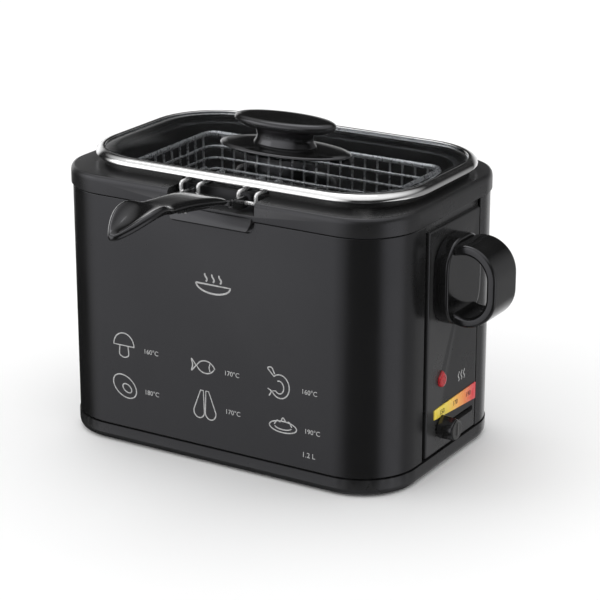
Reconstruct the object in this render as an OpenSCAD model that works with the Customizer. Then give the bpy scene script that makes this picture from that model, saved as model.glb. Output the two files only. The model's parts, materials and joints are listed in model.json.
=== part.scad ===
// Small household deep fryer: steel-wrapped body, fixed oil bowl, lift-out wire
// basket with a hinged handle, glass lid and a sliding temperature control.
// +X is the control-panel side, -Y the front, +Z up. The origin is on the
// table, under the middle of the body. All sizes are in millimetres.

/* [Body] */
// Width of the body, over the steel shell
body_w = 235; // [225:1:245]
// Depth of the body, over the steel shell
body_d = 154; // [152:1:160]
// Height of the seam between the shell and the top collar
body_h = 158.5; // [156:0.5:166]
// Radius of the body's upright corners
corner_r = 36; // [32:1:38]
// Thickness of the shell's sheet steel
shell_t = 0.8; // [0.6:0.1:1.0]

/* [Bowl and lid] */
// Width of the bowl's mouth
bowl_w = 196; // [190:1:200]
// Depth of the bowl's mouth, front to back
bowl_d = 114; // [110:1:114]
// Height of the inside of the bowl's floor
bowl_floor_z = 73.5; // [72:0.5:80]
// How far the bowl and lid stand behind the middle of the body
bowl_y = 5; // [4:0.5:6]
// Width of the lid's steel ring
lid_w = 226; // [222:1:230]
// Depth of the lid's steel ring
lid_d = 140; // [138:1:142]
// How far the lid lifts
lid_travel = 100; // [60:5:120]

/* [Basket] */
// Width of the wire basket
basket_w = 172; // [160:1:176]
// Depth of the wire basket
basket_d = 94; // [88:1:96]
// Spacing of the basket's wires
mesh_pitch = 9.2; // [8:0.1:12]
// How far forward the handle's tip reaches
handle_reach = 176; // [165:1:185]

/* [Controls] */
// Width of the control panel
panel_w = 68; // [64:1:70]
// How far the temperature knob slides
slider_travel = 38; // [30:1:38]
// How far the carry handle stands out from the panel
carry_reach = 36.7; // [34:0.1:40]

/* [Hidden] */
$fn = 64;
clear = 0.3;                         // gap left between neighbours that don't fit together

// Heights, from the table up
foot_h = 1.2;
base_top = 11;
shell_bottom = base_top + 0.8;
shell_top = body_h - 0.5;
collar_top = body_h + 11.5;
flange_top = collar_top + 0.8;       // the bowl's flange lies on the collar
wire_z = flange_top + 1.4;           // bracket wires cross the flange here
ring_bottom = flange_top + 2.8;
ring_top = ring_bottom + 5;
glass_bottom = ring_bottom + 1;
glass_top = glass_bottom + 3;
knob_z = ring_top;                   // underside of the knob's base

// Body
half_w = body_w / 2;
half_d = body_d / 2;
overhang = 1;                        // collar beyond the shell
base_proud = 0.5;                    // base beyond the shell
tie_r = 4.5;
tie_bottom = foot_h + 16;
tie_top = body_h - 8;
seam = 0.5;                          // gap on each side of the control panel

// Bowl
bowl_r = 32;
bowl_t = 1.5;
bowl_outer_floor = bowl_floor_z - bowl_t;
flange_w = bowl_w + 20;
flange_d = bowl_d + 20;
flange_r = bowl_r + 10;

// Lid
lid_r = 45;
glass_w = lid_w - 7;
glass_d = lid_d - 7;
knob_bore_r = 3;
stem_h = 10.4;
cap_z = knob_z + 3 + stem_h;         // underside of the knob's cap

// Pocket in the collar for the basket's handle, with a tab below it
pocket_w = 60;
pocket_floor = body_h + 3.5;
pocket_back = -half_d + 14.5;
tab_w = 57;
tab_bottom = body_h - 6.6;
tab_proud = 4;

// Basket
wire_r = 1.2;
mesh_bar = 1.4;
rim_r = 1.6;
rim_z = collar_top - 4.5;
basket_floor_z = rim_z - 68;
basket_front = bowl_y - basket_d / 2;
hinge_y = -half_d + 7.5;
hinge_z = pocket_floor + 4.5;
inner_leg_x = 14;
outer_leg_x = 26;
lug_r = 4;
lug_w = 3.4;
lug_x = inner_leg_x + wire_r + clear + lug_w / 2;
pin_gap = 0.05;

// Control panel, with the places of what it carries
panel_y = 2;
panel_t = 3.9;
panel_top = body_h - 5.5;
rear_y = panel_y + panel_w / 2 + seam; // front edge of the rear cover
slot_z = 25;
slider_y = -10;
lens_y = -10;
lens_z = 57;
scale_ends = [[-18.5, 34, 40], [35, 30.5, 41]];  // depth, bottom, top

// Carry handle: a strap bent into a loop on a pedestal
carry_y = -1.75;
carry_z = 119.5;
carry_h = 50;
carry_w = 28.5;
carry_t = 5.8;
carry_r = 20;
pedestal_t = 9.8;
pedestal_w = 43;
pedestal_h = 53;
pedestal_r = 17;
carry_screw_z = [for (s = [-1, 1]) carry_z + s * (carry_h - carry_t) / 2];

// Thermostat, its lever and the slider's pin
spindle_x = 64;
spindle_y = slider_y + slider_travel / 2;
pin_x = 104;
pin_r = 1.5;
pin_play = 0.6;
lever_rest = atan((slider_y - spindle_y) / (pin_x - spindle_x));
lever_end = 45.5;

// Cord gland, in the back wall
gland_x = -45;
gland_z = 24;
gland_r = 3.5;

// ---------- shared shapes ----------

// Rounded rectangle, centred
module slab2d(w, d, r) {
    square([w - 2 * r, d], center = true);
    square([w, d - 2 * r], center = true);
    for (sx = [-1, 1], sy = [-1, 1])
        translate([sx * (w / 2 - r), sy * (d / 2 - r)]) circle(r);
}

// Rounded slab standing on z
module slab(w, d, r, z, h) {
    translate([0, 0, z]) linear_extrude(h) slab2d(w, d, r);
}

// Rounded ring of wall t, inside the outline w by d
module band(w, d, r, t, z, h) {
    translate([0, 0, z]) linear_extrude(h) difference() {
        slab2d(w, d, r);
        slab2d(w - 2 * t, d - 2 * t, r - t);
    }
}

// Sweeps a 2-D profile round a rounded rectangle. The profile's x is the
// distance outward from the outline and its y is the height.
module sweep(w, d, r) {
    for (q = [[1, 1, 0], [-1, 1, 90], [-1, -1, 180], [1, -1, 270]])
        translate([q[0] * (w / 2 - r), q[1] * (d / 2 - r), 0])
            rotate([0, 0, q[2]]) rotate_extrude(angle = 90) translate([r, 0]) children();
    for (s = [0, 180]) rotate([0, 0, s]) {
        translate([w / 2, d / 2 - r, 0]) rotate([90, 0, 0]) linear_extrude(d - 2 * r) children();
        translate([w / 2 - r, d / 2, 0]) rotate([90, 0, -90]) mirror([1, 0, 0])
            linear_extrude(w - 2 * r) children();
    }
}

// Round wire through a list of points, with a ball at each bend
module wire(points, r) {
    for (i = [0 : len(points) - 2]) {
        run = points[i + 1] - points[i];
        flat = norm([run[0], run[1]]);
        translate(points[i]) rotate([0, atan2(flat, run[2]), atan2(run[1], run[0])])
            cylinder(r = r, h = norm(run));
    }
    for (i = [1 : len(points) - 2]) translate(points[i]) sphere(r);
}

// Pan-head screw pointing up from the head's underside
module screw(r, length, head_r, head_h) {
    difference() {
        union() {
            cylinder(r = r, h = length);
            translate([0, 0, -head_h]) cylinder(r = head_r, h = head_h);
        }
        for (a = [0, 90]) rotate([0, 0, a])
            translate([-head_r * 0.6, -0.5, -head_h - 1]) cube([head_r * 1.2, 1, 1 + head_h / 2]);
    }
}

// ---------- body ----------

tie_places = [for (sx = [-1, 1], y = [11 - half_d, half_d - 7]) [sx * 70, y]];
foot_places = [for (sx = [-1, 1], sy = [-1, 1]) [sx * 92, sy * 54]];
post_places = [for (sx = [-1, 1], sy = [-1, 1]) [sx * 78, sy * 40]];

// Sheet-steel wrap between two depths, open where the control panel sits
module wrap(y0, y1) difference() {
    intersection() {
        band(body_w, body_d, corner_r, shell_t, shell_bottom, shell_top - shell_bottom);
        translate([-half_w - 1, y0, 0]) cube([body_w + 2, y1 - y0, body_h]);
    }
    translate([half_w - 6, panel_y - panel_w / 2 - seam, shell_bottom - 1])
        cube([12, panel_w + 2 * seam, shell_top - shell_bottom + 2]);
}

// Front and left side
module outer_shell() color([0.16, 0.16, 0.165]) wrap(-half_d - 1, rear_y - clear);

// Rear cover, with a hole for the cord gland
module rear_shell() color([0.16, 0.16, 0.165]) difference() {
    wrap(rear_y, half_d + 1);
    translate([gland_x, half_d + 1, gland_z]) rotate([90, 0, 0]) cylinder(r = 6.5, h = 4);
}

module control_panel() color([0.2, 0.2, 0.205]) difference() {
    union() {
        translate([half_w - panel_t, panel_y - panel_w / 2, shell_bottom])
            cube([panel_t, panel_w, panel_top - shell_bottom]);
        translate([half_w - panel_t, panel_y - panel_w / 2 - 3, shell_bottom])
            cube([panel_t - shell_t - 0.4, panel_w + 6, shell_top - shell_bottom]);
    }
    translate([half_w - 8, slider_y - 4.5, slot_z - 1.9])
        cube([12, slider_travel + 9, 3.8]);
    translate([half_w - 8, lens_y, lens_z]) rotate([0, 90, 0]) cylinder(r = 3.2, h = 12);
    for (z = carry_screw_z)
        translate([half_w - 8, carry_y, z]) rotate([0, 90, 0]) cylinder(r = 1.6, h = 12);
}

// Moulded tray that closes the underside
module base_moulding() color([0.12, 0.12, 0.125]) difference() {
    union() {
        sweep(body_w, body_d, corner_r) polygon([
            [-8, foot_h], [-2, foot_h], [-0.6, foot_h + 0.6], [base_proud - 0.3, foot_h + 2],
            [base_proud, foot_h + 3.6], [base_proud, base_top], [-8, base_top]
        ]);
        slab(body_w - 15, body_d - 15, corner_r - 7.5, foot_h, 3);
        band(body_w - 4, body_d - 4, corner_r - 2, 2, base_top - 1, 5);
        for (p = post_places) translate([p[0], p[1], foot_h]) cylinder(r = 5, h = 10);
        for (p = tie_places) translate([p[0], p[1], foot_h]) cylinder(r = tie_r, h = tie_bottom - foot_h);
    }
    for (p = tie_places) translate([p[0], p[1], foot_h - 1]) {
        cylinder(r = 2, h = 20);
        cylinder(r = 4.1, h = 4);
    }
    for (i = [-4 : 4]) translate([i * 9 - 1.5, -22, foot_h - 1]) cube([3, 44, 6]);
    translate([half_w - panel_t - 1, panel_y - panel_w / 2 - 5, base_top])
        cube([10, panel_w + 10, 8]);
}

module rubber_feet() color([0.05, 0.05, 0.05]) for (p = foot_places)
    translate([p[0], p[1], 0]) cylinder(r1 = 7, r2 = 8, h = foot_h);

module base_screws() color([0.7, 0.7, 0.72]) for (p = tie_places)
    translate([p[0], p[1], foot_h + 3]) screw(1.9, 24, 3.9, 2);

// Tubes that tie the base to the collar
module tie_tubes() color([0.75, 0.75, 0.77]) for (p = tie_places)
    translate([p[0], p[1], tie_bottom]) difference() {
        cylinder(r = tie_r, h = tie_top - tie_bottom);
        translate([0, 0, -1]) cylinder(r = 2.1, h = tie_top);
    }

// Rim moulding: apron, skirt inside the shell, ledge, front tab and handle pocket
module top_collar() color([0.15, 0.15, 0.155]) difference() {
    union() {
        sweep(body_w, body_d, corner_r) polygon([
            [-3, body_h], [overhang, body_h], [overhang, collar_top - 2],
            [-0.9, collar_top], [-3, collar_top]
        ]);
        band(body_w - 2 * shell_t - 1.2, body_d - 2 * shell_t - 1.2, corner_r - 1.4, 2,
             body_h - 8, 9);
        difference() {
            slab(body_w - 5, body_d - 5, corner_r - 2.5, collar_top - 2.4, 2.4);
            translate([0, bowl_y, 0])
                slab(bowl_w + 4, bowl_d + 4, bowl_r + 2, collar_top - 4, 8);
        }
        translate([-pocket_w / 2 - 2, -half_d + 2, pocket_floor - 2])
            cube([pocket_w + 4, pocket_back + half_d, collar_top - pocket_floor + 1]);
        front_tab();
        for (p = tie_places) translate([p[0], p[1], tie_top]) {
            cylinder(r = tie_r, h = collar_top - tie_top - 1);
            translate([0, 0, -6]) cylinder(r = 2, h = 7);
        }
    }
    translate([-pocket_w / 2, -half_d - 4, pocket_floor])
        cube([pocket_w, pocket_back + half_d + 4, 30]);
    translate([half_w - panel_t - 1, panel_y - panel_w / 2 - 5, body_h - 9])
        cube([10, panel_w + 10, 9]);
}

// Sloping shield on the front of the collar, under the pocket
module front_tab() intersection() {
    translate([-tab_w / 2, 0, 0]) rotate([90, 0, 90]) linear_extrude(tab_w) polygon([
        [-half_d - 0.1, tab_bottom], [-half_d - tab_proud + 0.4, tab_bottom],
        [-half_d - tab_proud, tab_bottom + 1], [-half_d - 1.6, pocket_floor - 2],
        [-half_d - overhang, pocket_floor - 1.4], [-half_d + 1, pocket_floor - 1.4],
        [-half_d + 1, body_h + 0.1], [-half_d - 0.1, body_h + 0.1]
    ]);
    translate([0, -half_d + 2, 0]) rotate([90, 0, 0]) linear_extrude(tab_proud + 3) polygon([
        [-tab_w / 2, pocket_floor], [-tab_w / 2, body_h - 1], [4 - tab_w / 2, tab_bottom],
        [tab_w / 2 - 4, tab_bottom], [tab_w / 2, body_h - 1], [tab_w / 2, pocket_floor]
    ]);
}

// Non-stick bowl with its flange and raised bead
module oil_bowl() color([0.22, 0.22, 0.22]) translate([0, bowl_y, 0]) difference() {
    union() {
        slab(bowl_w + 2 * bowl_t, bowl_d + 2 * bowl_t, bowl_r + bowl_t, bowl_outer_floor,
             flange_top - bowl_outer_floor);
        slab(flange_w, flange_d, flange_r, collar_top, flange_top - collar_top);
        band(flange_w, flange_d, flange_r, 2, collar_top, ring_bottom - collar_top - 0.2);
    }
    slab(bowl_w, bowl_d, bowl_r, bowl_floor_z, 200);
    translate([-pocket_w / 2, -flange_d / 2 - 1, flange_top]) cube([pocket_w, 6, 5]);
}

// ---------- heating ----------

lead_r = 1.2;
element_r = 3.3;
element_z = bowl_outer_floor - 3 - element_r;
element_arm = 24;
element_end = 71;
clamp_x = [-30, 30];

module heat_spreader() color([0.75, 0.75, 0.77])
    translate([0, bowl_y, 0]) slab(150, 84, 22, bowl_outer_floor - 3, 3);

// Tubular element bent into a U, with a terminal pin on each end
module heating_element() color([0.35, 0.33, 0.31]) translate([-45, bowl_y, element_z]) {
    rotate([0, 0, 90]) rotate_extrude(angle = 180) translate([element_arm, 0]) circle(element_r);
    for (s = [-1, 1]) translate([0, s * element_arm, 0]) rotate([0, 90, 0]) {
        cylinder(r = element_r, h = element_end + 34);
        cylinder(r = 1.6, h = element_end + 45);
    }
}

module element_clamps() color([0.7, 0.7, 0.72]) for (x = clamp_x)
    translate([x - 5, bowl_y - 34, element_z - element_r - 1.6]) difference() {
        union() {
            cube([10, 68, 1.5]);
            for (y = [0, 66.5]) translate([0, y, 0]) cube([10, 1.5, 2 * element_r + 1.5]);
        }
        translate([5, 34, -1]) cylinder(r = 2.1, h = 4);
    }

module heat_shield() color([0.8, 0.8, 0.8]) difference() {
    union() {
        slab(190, 110, 24, 54, 1);
        band(190, 110, 24, 1, 54, 6);
    }
    for (p = post_places) translate([p[0], p[1], 50]) cylinder(r = 2, h = 10);
}

module shield_posts() color([0.75, 0.75, 0.75]) for (p = post_places)
    translate([p[0], p[1], foot_h + 10]) {
        cylinder(r = 3.5, h = 54 - foot_h - 10);
        cylinder(r = 1.8, h = 54 - foot_h - 10 + 4);
    }

// ---------- temperature control ----------

module thermostat_body() color([0.85, 0.83, 0.75]) difference() {
    translate([spindle_x - 14, spindle_y - 15, 30]) cube([28, 30, 18]);
    translate([spindle_x, spindle_y, 29]) cylinder(r = 3 + pin_gap, h = 6);
}

module thermostat_bracket() color([0.75, 0.75, 0.77]) union() {
    translate([spindle_x - 17, spindle_y - 12, 48]) cube([31, 24, 1.5]);
    translate([spindle_x - 17, spindle_y - 12, foot_h + 3]) cube([1.5, 24, 46 - foot_h]);
}

module thermostat_spindle() color([0.8, 0.8, 0.82])
    translate([spindle_x, spindle_y, 20]) cylinder(r = 3, h = 13);

// Forked lever on the spindle, driven by the slider's pin
module thermostat_lever() color([0.8, 0.8, 0.82])
    translate([spindle_x, spindle_y, 24]) rotate([0, 0, lever_rest]) linear_extrude(2.5)
        difference() {
            union() {
                circle(6);
                translate([0, -4.6]) square([lever_end, 9.2]);
            }
            circle(3 + pin_gap);
            translate([pin_x - spindle_x - 4, -pin_r - pin_play]) square([20, 2 * (pin_r + pin_play)]);
        }

// Plate behind the panel, with an arm and pin that move the lever
module slider_carriage() color([0.3, 0.3, 0.3]) union() {
    translate([half_w - panel_t - 2.7, slider_y - 8, slot_z - 7]) cube([2.4, 16, 14]);
    translate([pin_x - 2.5, slider_y - 3, slot_z + 3]) cube([half_w - panel_t - pin_x + 1, 6, 2]);
    translate([pin_x, slider_y, slot_z - 4]) cylinder(r = pin_r, h = 8);
}

// Knob with a pointed top, on a stem through the slot
module slider_knob() color([0.35, 0.35, 0.36]) union() {
    translate([half_w - panel_t - 0.3, slider_y - 3, slot_z - 1.5]) cube([panel_t + 1.3, 6, 3]);
    translate([half_w + 0.9, slider_y, slot_z]) rotate([90, 0, 90]) linear_extrude(11.4) union() {
        translate([0, 2]) circle(6.8);
        polygon([[-6.8, 2], [6.8, 2], [5.4, 6], [0, 10], [-5.4, 6]]);
    }
}

module thermal_cutout() color([0.8, 0.78, 0.7])
    translate([-11, bowl_y, bowl_outer_floor - 4.7]) rotate([0, 90, 0]) cylinder(r = 1.6, h = 22);

module terminal_block() color([0.9, 0.88, 0.8]) difference() {
    translate([-60, 36, foot_h + 3]) cube([32, 16, 14]);
    for (i = [0 : 2]) translate([-54 + i * 10, 44, foot_h + 9]) cylinder(r = 2, h = 20);
}

module earth_tag() color([0.8, 0.7, 0.3]) difference() {
    translate([-16, 40, foot_h + 3]) cube([10, 16, 0.8]);
    translate([-11, 51, 0]) cylinder(r = 2.1, h = 20);
}

module supply_lead() color([0.45, 0.25, 0.1])
    wire([[-27.5, 44, 12], [-20, 44, 12], [-20, 34, 12], [60, 34, 12], [60, 34, 40], [60, 24.5, 40]],
         lead_r);

module element_lead() color([0.45, 0.25, 0.1])
    wire([[element_end + 0.5, bowl_y + element_arm, element_z], [103, bowl_y + element_arm, element_z],
          [103, bowl_y + element_arm, 44], [103, 16, 44], [spindle_x + 14.5, 16, 44]], lead_r);

module return_lead() color([0.1, 0.2, 0.6])
    wire([[element_end + 0.5, bowl_y - element_arm, element_z], [103, bowl_y - element_arm, element_z],
          [103, -30, element_z], [103, -30, 12], [-36, -30, 12], [-36, 35.5, 12]], lead_r);

module lamp_lead() color([0.7, 0.2, 0.2])
    wire([[97.8, lens_y, lens_z], [96.8, lens_y, lens_z], [96.8, lens_y, 44], [96.8, 0, 44],
          [spindle_x + 14.5, 0, 44]], 0.8);

module indicator_lamp() color([0.95, 0.85, 0.8])
    translate([98, lens_y, lens_z]) rotate([0, 90, 0]) cylinder(r = 3.4, h = half_w - panel_t - 98 - 0.1);

// Drop-shaped red lens with a round peg behind
module indicator_lens() color([0.8, 0.1, 0.1]) translate([0, lens_y, lens_z]) {
    translate([half_w, 0, 0]) rotate([90, 0, 90]) linear_extrude(2) union() {
        circle(4.8);
        polygon([[-4.8, 0], [4.8, 0], [3.8, 2.6], [0, 6], [-3.8, 2.6]]);
    }
    translate([half_w - 3, 0, 0]) rotate([0, 90, 0]) cylinder(r = 3.1, h = 3.5);
}

// Printed wedge that widens towards the hot end
module temperature_scale() color([0.95, 0.75, 0.2])
    translate([half_w, 0, 0]) rotate([90, 0, 90]) linear_extrude(0.5) polygon([
        for (e = scale_ends) [e[0], e[1]],
        for (i = [1, 0]) [scale_ends[i][0], scale_ends[i][2]]
    ]);

module cord_gland() color([0.08, 0.08, 0.08])
    translate([gland_x, half_d + 3, gland_z]) rotate([90, 0, 0]) difference() {
        union() {
            cylinder(r = 8.5, h = 3);
            cylinder(r = 6.2, h = 12);
        }
        translate([0, 0, -1]) cylinder(r = gland_r, h = 14);
    }

// ---------- carry handle ----------

// Outline of the loop: straight at the pedestal, round outside
module loop2d(reach, h, r) intersection() {
    translate([0, -h / 2]) square([reach, h]);
    translate([reach - h / 2, 0]) slab2d(h, h, r);
}

module carry_handle() color([0.08, 0.08, 0.085]) difference() {
    translate([half_w + pedestal_t, carry_y + carry_w / 2, carry_z]) rotate([90, 0, 0])
        linear_extrude(carry_w) difference() {
            loop2d(carry_reach - pedestal_t, carry_h, carry_r);
            loop2d(carry_reach - pedestal_t - carry_t, carry_h - 2 * carry_t, carry_r - carry_t);
        }
    for (z = carry_screw_z)
        translate([half_w, carry_y, z]) rotate([0, 90, 0]) cylinder(r = 1.3, h = pedestal_t + 7);
}

// Raised block that the loop's two ends stand on
module handle_pedestal() color([0.07, 0.07, 0.075]) difference() {
    translate([half_w, carry_y, carry_z]) rotate([90, 0, 90])
        linear_extrude(pedestal_t) slab2d(pedestal_w, pedestal_h, pedestal_r);
    for (z = carry_screw_z)
        translate([half_w - 2, carry_y, z]) rotate([0, 90, 0]) cylinder(r = 1.6, h = pedestal_t + 4);
}

module handle_screws() color([0.7, 0.7, 0.72]) for (z = carry_screw_z)
    translate([half_w - panel_t, carry_y, z]) rotate([0, 90, 0])
        screw(1.2, panel_t + pedestal_t + 6.5, 3, 2);

// ---------- basket ----------

// Flat mesh in the XY plane, centred, w by h
module mesh(w, h) {
    across = floor(w / mesh_pitch);
    up = floor(h / mesh_pitch);
    linear_extrude(mesh_bar) {
        for (i = [0 : across])
            translate([-w / 2 + i * (w - mesh_bar) / across, -h / 2]) square([mesh_bar, h]);
        for (j = [0 : up])
            translate([-w / 2, -h / 2 + j * (h - mesh_bar) / up]) square([w, mesh_bar]);
    }
}

wall_h = rim_z - rim_r - basket_floor_z - 0.2;
wall_z = basket_floor_z + wall_h / 2;

module side_mesh(s) translate([s * (basket_w / 2 - 1.5), bowl_y, wall_z])
    rotate([90, 0, 90]) translate([0, 0, -mesh_bar / 2]) mesh(basket_d - 7, wall_h);

module end_mesh(s) translate([0, bowl_y + s * (basket_d / 2 - 1.5), wall_z])
    rotate([90, 0, 0]) translate([0, 0, -mesh_bar / 2]) mesh(basket_w - 7, wall_h);

module basket_left_mesh() color([0.7, 0.7, 0.72]) side_mesh(-1);
module basket_right_mesh() color([0.7, 0.7, 0.72]) side_mesh(1);
module basket_front_mesh() color([0.7, 0.7, 0.72]) end_mesh(-1);
module basket_back_mesh() color([0.7, 0.7, 0.72]) end_mesh(1);

module basket_floor_mesh() color([0.7, 0.7, 0.72])
    translate([0, bowl_y, basket_floor_z - mesh_bar - 0.1]) mesh(basket_w - 2, basket_d - 2);

module basket_rim() color([0.8, 0.8, 0.82]) translate([0, bowl_y, 0])
    sweep(basket_w - 3, basket_d - 3, 8) translate([0, rim_z]) circle(rim_r);

// Two wire loops that hook over the bowl and carry the handle's hinge
module bracket_wires() color([0.85, 0.85, 0.87]) for (s = [-1, 1])
    wire([
        [s * inner_leg_x, basket_front - 1.6, rim_z - 8],
        [s * inner_leg_x, basket_front - 1.6, wire_z],
        [s * inner_leg_x, hinge_y, wire_z],
        [s * inner_leg_x, hinge_y, hinge_z],
        [s * outer_leg_x, hinge_y, hinge_z],
        [s * outer_leg_x, hinge_y, wire_z],
        [s * outer_leg_x, basket_front - 1.6, wire_z],
        [s * outer_leg_x, basket_front - 1.6, rim_z - 8]
    ], wire_r);

// Cross-sections of the handle: forward place, height, width, thickness
handle_sections = [
    [hinge_y - 10, hinge_z + 2.7, 38, 6],
    [hinge_y - 38, hinge_z + 7.5, 26, 6.5],
    [hinge_y - 60, hinge_z + 9.9, 24.5, 6.2],
    [hinge_y - 73, hinge_z + 13.3, 29.5, 7.6],
    [hinge_y - 87, hinge_z + 11.2, 26, 7.6],
    [hinge_y - 97, hinge_z + 7, 17, 6.8],
    [0.5 - handle_reach, hinge_z + 3.5, 3.5, 3.4]
];

// Thin rounded plate across the handle at one section
module handle_slice(s) translate([0, s[0], s[1]]) rotate([90, 0, 0])
    linear_extrude(0.5) slab2d(s[2], s[3], s[3] / 2 - 0.2, $fn = 32);

module basket_handle() color([0.09, 0.09, 0.095]) difference() {
    union() {
        for (i = [0 : len(handle_sections) - 2]) hull() {
            handle_slice(handle_sections[i]);
            handle_slice(handle_sections[i + 1]);
        }
        for (s = [-1, 1]) translate([s * lug_x - lug_w / 2, hinge_y, hinge_z]) {
            rotate([0, 90, 0]) cylinder(r = lug_r, h = lug_w);
            translate([0, -11, -3.4]) cube([lug_w, 11, 7]);
        }
    }
    translate([-outer_leg_x, hinge_y, hinge_z]) rotate([0, 90, 0])
        cylinder(r = wire_r + pin_gap, h = 2 * outer_leg_x);
}

// Cover on the underside of the handle's arm
module handle_underplate() color([0.09, 0.09, 0.095]) difference() {
    hull() {
        translate([0, hinge_y - 22, hinge_z + 1]) cube([16, 1, 1], center = true);
        translate([0, hinge_y - 50, hinge_z + 4.6]) cube([12, 1, 1], center = true);
    }
    translate([0, hinge_y - 36, hinge_z - 10]) cylinder(r = 1.5, h = 30);
}

module underplate_screw() color([0.7, 0.7, 0.72])
    translate([0, hinge_y - 36, hinge_z + 1.9]) screw(1.4, 0.9, 2.6, 1.4);

// ---------- lid ----------

module lid_ring() color([0.85, 0.85, 0.87]) translate([0, bowl_y, 0])
    sweep(lid_w, lid_d, lid_r) polygon([
        [-7, ring_bottom], [-1, ring_bottom], [0, ring_bottom + 1], [-0.1, ring_bottom + 2],
        [-0.7, ring_bottom + 3.1], [-1.8, ring_bottom + 4.1], [-3.4, ring_bottom + 4.8],
        [-5.2, ring_top], [-6, ring_top - 0.2], [-6, glass_top + 0.1], [-3.4, glass_top + 0.1],
        [-3.4, glass_bottom - 0.1], [-7, glass_bottom - 0.1]
    ]);

module lid_glass() color([0.75, 0.8, 0.82, 0.4]) translate([0, bowl_y, 0]) difference() {
    slab(glass_w, glass_d, lid_r - 2, glass_bottom, glass_top - glass_bottom);
    translate([0, 0, glass_bottom - 1]) cylinder(r = knob_bore_r, h = 8);
}

// Oval post standing on z
module oval(w, d, z, h) translate([0, bowl_y, z]) scale([1, d / w, 1]) cylinder(r = w / 2, h = h);

module knob_seal() color([0.3, 0.3, 0.3]) difference() {
    translate([0, bowl_y, glass_top]) cylinder(r = 12, h = knob_z - glass_top);
    translate([0, bowl_y, glass_top - 1]) cylinder(r = knob_bore_r, h = 6);
}

module knob_base() color([0.06, 0.06, 0.065]) difference() {
    oval(90, 43, knob_z, 3);
    translate([0, bowl_y, knob_z - 1]) cylinder(r = knob_bore_r, h = 6);
}

module knob_stem() color([0.06, 0.06, 0.065]) difference() {
    oval(43, 23, knob_z + 3, stem_h);
    translate([0, bowl_y, knob_z + 2]) cylinder(r = 2, h = 10);
}

module knob_cap() color([0.06, 0.06, 0.065]) union() {
    oval(64, 27.5, cap_z, 1.8);
    oval(70, 31.6, cap_z + 1.8, 3.4);
    oval(62, 26, cap_z + 5.2, 1.6);
}

module knob_washer() color([0.8, 0.8, 0.82]) difference() {
    translate([0, bowl_y, glass_bottom - 1]) cylinder(r = 8, h = 1);
    translate([0, bowl_y, glass_bottom - 2]) cylinder(r = 2.4, h = 3);
}

module knob_screw() color([0.8, 0.8, 0.82])
    translate([0, bowl_y, glass_bottom - 1]) screw(1.95, 15, 4, 2.4);

// ---------- one line for each node ----------

outer_shell();
rear_shell();
control_panel();
base_moulding();
rubber_feet();
base_screws();
top_collar();
tie_tubes();
oil_bowl();
heat_spreader();
heating_element();
element_clamps();
heat_shield();
shield_posts();
thermostat_body();
thermostat_bracket();
thermostat_spindle();
thermostat_lever();
slider_carriage();
slider_knob();
thermal_cutout();
terminal_block();
earth_tag();
supply_lead();
element_lead();
return_lead();
lamp_lead();
indicator_lamp();
indicator_lens();
temperature_scale();
carry_handle();
handle_pedestal();
handle_screws();
cord_gland();
basket_left_mesh();
basket_right_mesh();
basket_front_mesh();
basket_back_mesh();
basket_floor_mesh();
basket_rim();
bracket_wires();
basket_handle();
handle_underplate();
underplate_screw();
lid_ring();
lid_glass();
knob_seal();
knob_base();
knob_stem();
knob_cap();
knob_washer();
knob_screw();
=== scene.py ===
"""A household deep fryer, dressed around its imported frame.

+X is the control-panel side, -Y the front and +Z up. The frame is in metres. The shapes
below are worked out in millimetres, and the shape helpers scale them by MM.
"""

import json
import math

import bmesh
import bpy
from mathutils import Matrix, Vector


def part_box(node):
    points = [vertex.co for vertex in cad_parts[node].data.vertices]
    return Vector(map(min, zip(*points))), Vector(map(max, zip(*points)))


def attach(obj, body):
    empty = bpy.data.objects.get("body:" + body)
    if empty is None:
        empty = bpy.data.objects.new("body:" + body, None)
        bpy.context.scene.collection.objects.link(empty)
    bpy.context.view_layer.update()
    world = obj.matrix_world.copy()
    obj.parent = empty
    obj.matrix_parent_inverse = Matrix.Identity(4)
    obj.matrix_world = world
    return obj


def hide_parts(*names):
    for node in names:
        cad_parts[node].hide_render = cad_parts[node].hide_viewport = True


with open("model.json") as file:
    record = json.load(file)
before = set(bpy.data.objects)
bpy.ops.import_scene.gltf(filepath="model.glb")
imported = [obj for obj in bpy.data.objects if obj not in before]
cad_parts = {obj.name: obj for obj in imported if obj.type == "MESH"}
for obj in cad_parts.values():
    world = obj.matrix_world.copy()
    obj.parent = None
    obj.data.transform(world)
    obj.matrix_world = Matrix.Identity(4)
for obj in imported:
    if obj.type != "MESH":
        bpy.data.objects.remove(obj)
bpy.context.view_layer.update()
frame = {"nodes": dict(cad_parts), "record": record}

MM = 0.001
NODES = frame["nodes"]
SLOT_OF = {part["node"]: part["material_slot"] for part in frame["record"]["subparts"]}


# ---------- shader nodes ----------

def add(tree, kind, inputs=None, **settings):
    """A shader node. Its inputs are given as sockets to link or as plain values."""
    node = tree.nodes.new(kind)
    for key, value in settings.items():
        setattr(node, key, value)
    for key, value in (inputs or {}).items():
        if isinstance(value, bpy.types.NodeSocket):
            tree.links.new(value, node.inputs[key])
        else:
            node.inputs[key].default_value = value
    return node


# ---------- camera, light and floor ----------

CAMERA_AZIMUTH = math.radians(31.2)
CAMERA_ELEVATION = math.radians(19.0)
CAMERA_DISTANCE = 1.367
CAMERA_LENS = 132.8
CAMERA_TARGET = Vector((0, 0, 0.095))
CAMERA_SLIDE = (0.0116, -0.0112)     # right and up, so that the view stays level and unshifted


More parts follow.
